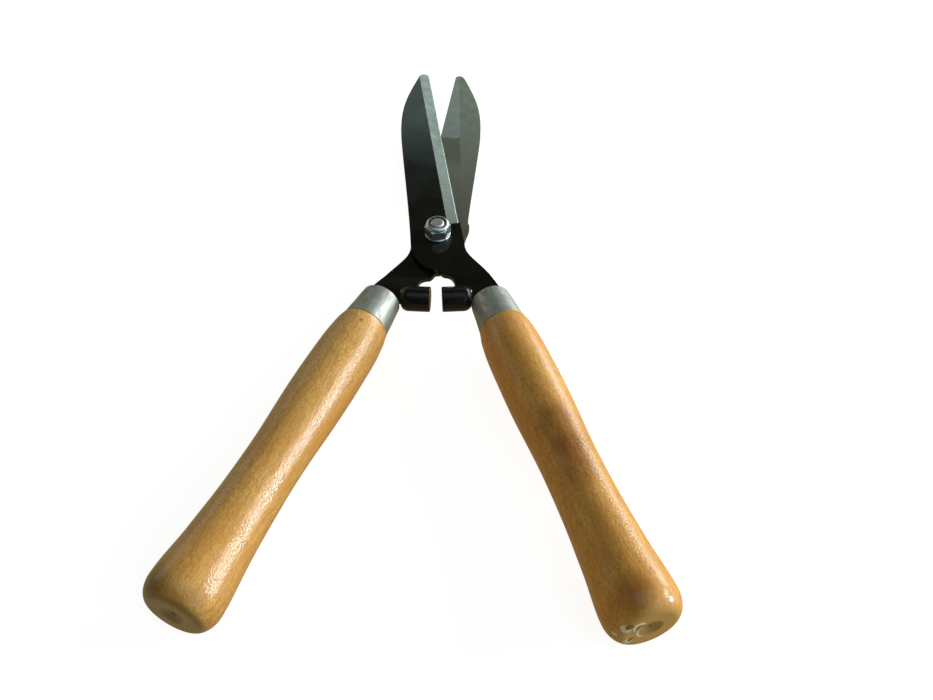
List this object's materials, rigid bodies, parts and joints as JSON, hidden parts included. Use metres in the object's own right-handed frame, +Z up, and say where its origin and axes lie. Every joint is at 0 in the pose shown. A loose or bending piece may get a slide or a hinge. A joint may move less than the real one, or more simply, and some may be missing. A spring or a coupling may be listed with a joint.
{
  "type": "hand hedge shears",
  "caption": "Hand hedge shears with straight black steel blades on one pivot bolt, steel ferrules, rubber buffers and turned wooden handles.",
  "frame": {"origin": "centre of the pivot bolt's head, on its outer lower face", "axes": "+Y towards the blade tips, +Z up along the pivot from the bolt head to the nut, +X to the right"},
  "size_m": [0.275, 0.492, 0.0434],
  "materials": {
    "blade_steel": "black coated, semi-gloss, with a bare ground bevel along the cutting edge",
    "zinc_steel": "bright zinc plated",
    "ferrule_steel": "dull, lightly brushed along its length",
    "lacquered_wood": "clear gloss lacquer, bare at the butt face",
    "rubber": "smooth, slightly glossy",
    "nylon": "matte"
  },
  "bodies": {
    "rear_half": {"rear_blade": "blade_steel", "left_buffer": "rubber", "left_ferrule": "ferrule_steel", "left_handle": "lacquered_wood", "pivot_bolt": "zinc_steel", "pivot_nut": "zinc_steel", "nylon_insert": "nylon", "nut_washer": "zinc_steel", "head_washer": "zinc_steel"},
    "front_half": {"front_blade": "blade_steel", "right_buffer": "rubber", "right_ferrule": "ferrule_steel", "right_handle": "lacquered_wood"}
  },
  "joints": [
    {"name": "blade_pivot", "type": "hinge", "parent": "rear_half", "child": "front_half", "pos_m": [0, 0, 0.01145], "axis": [0, 0, 1], "range_deg": [-7, 60]}
  ]
}
